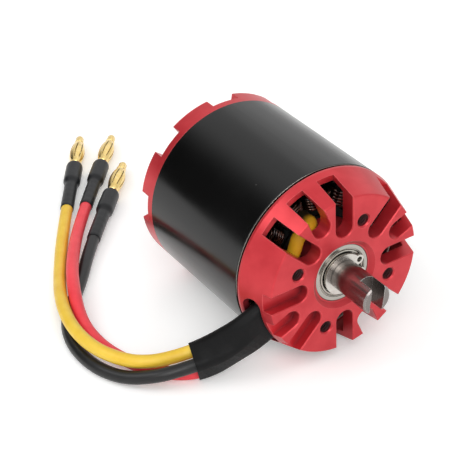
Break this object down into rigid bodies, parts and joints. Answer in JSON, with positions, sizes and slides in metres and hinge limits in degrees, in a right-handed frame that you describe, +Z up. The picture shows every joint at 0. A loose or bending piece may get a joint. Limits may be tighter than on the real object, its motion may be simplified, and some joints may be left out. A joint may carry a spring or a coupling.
{
  "type": "brushless outrunner motor",
  "caption": "Brushless outrunner motor on its side: slotted red front mount, black turning can, slotted shaft end, bearing, and coloured leads with bullet plugs.",
  "frame": {"origin": "centre of the mounting face, on the shaft axis", "axes": "+X along the shaft towards its free end, +Z up with the motor lying on its side, the surface it lies on is 25 mm below the axis"},
  "size_m": [0.1466, 0.0832, 0.05],
  "materials": {
    "red_anodised_aluminium": "satin machined, dyed anodising",
    "plain_aluminium": "machined",
    "lamination_steel": "stacked sheet, varnished",
    "insulator_board": "matt",
    "enamelled_copper": "wound enamelled wire",
    "bearing_steel": "ground",
    "black_can_steel": "black, half gloss",
    "nickel_magnet": "nickel plated",
    "black_oxide_steel": "black oxide",
    "hardened_steel": "ground",
    "spring_steel": "phosphated",
    "gold_plate": "gold plated",
    "black_heatshrink": "satin",
    "black_sleeve": "satin",
    "yellow_silicone": "silicone",
    "black_silicone": "silicone",
    "red_silicone": "silicone"
  },
  "bodies": {
    "stator": {"front_mount": "red_anodised_aluminium", "bearing_tube": "plain_aluminium", "stator_core": "lamination_steel", "front_slot_insulator": "insulator_board", "rear_slot_insulator": "insulator_board", "winding_phase_a": "enamelled_copper", "winding_phase_b": "enamelled_copper", "winding_phase_c": "enamelled_copper", "front_bearing_outer_ring": "bearing_steel", "front_bearing_balls": "bearing_steel", "front_bearing_shields": "bearing_steel", "rear_bearing_outer_ring": "bearing_steel", "rear_bearing_balls": "bearing_steel", "rear_bearing_shields": "bearing_steel", "yellow_lead_tail": "yellow_silicone", "black_lead_tail": "black_silicone", "red_lead_tail": "red_silicone", "yellow_lead": "yellow_silicone", "yellow_plug": "gold_plate", "yellow_plug_cage": "gold_plate", "yellow_heatshrink": "black_heatshrink", "black_lead": "black_silicone", "black_plug": "gold_plate", "black_plug_cage": "gold_plate", "black_heatshrink": "black_heatshrink", "red_lead": "red_silicone", "red_plug": "gold_plate", "red_plug_cage": "gold_plate", "red_heatshrink": "black_heatshrink", "lead_sleeve": "black_sleeve"},
    "rotor": {"rotor_can": "black_can_steel", "magnets": "nickel_magnet", "rear_bell": "red_anodised_aluminium", "bell_grub_screws": "black_oxide_steel", "shaft": "hardened_steel", "retaining_ring": "spring_steel", "rear_spacer": "plain_aluminium", "front_bearing_inner_ring": "bearing_steel", "rear_bearing_inner_ring": "bearing_steel"}
  },
  "joints": [
    {"name": "rotor_spin", "type": "hinge", "parent": "stator", "child": "rotor", "pos_m": [0, 0, 0], "axis": [1, 0, 0], "continuous": true}
  ]
}
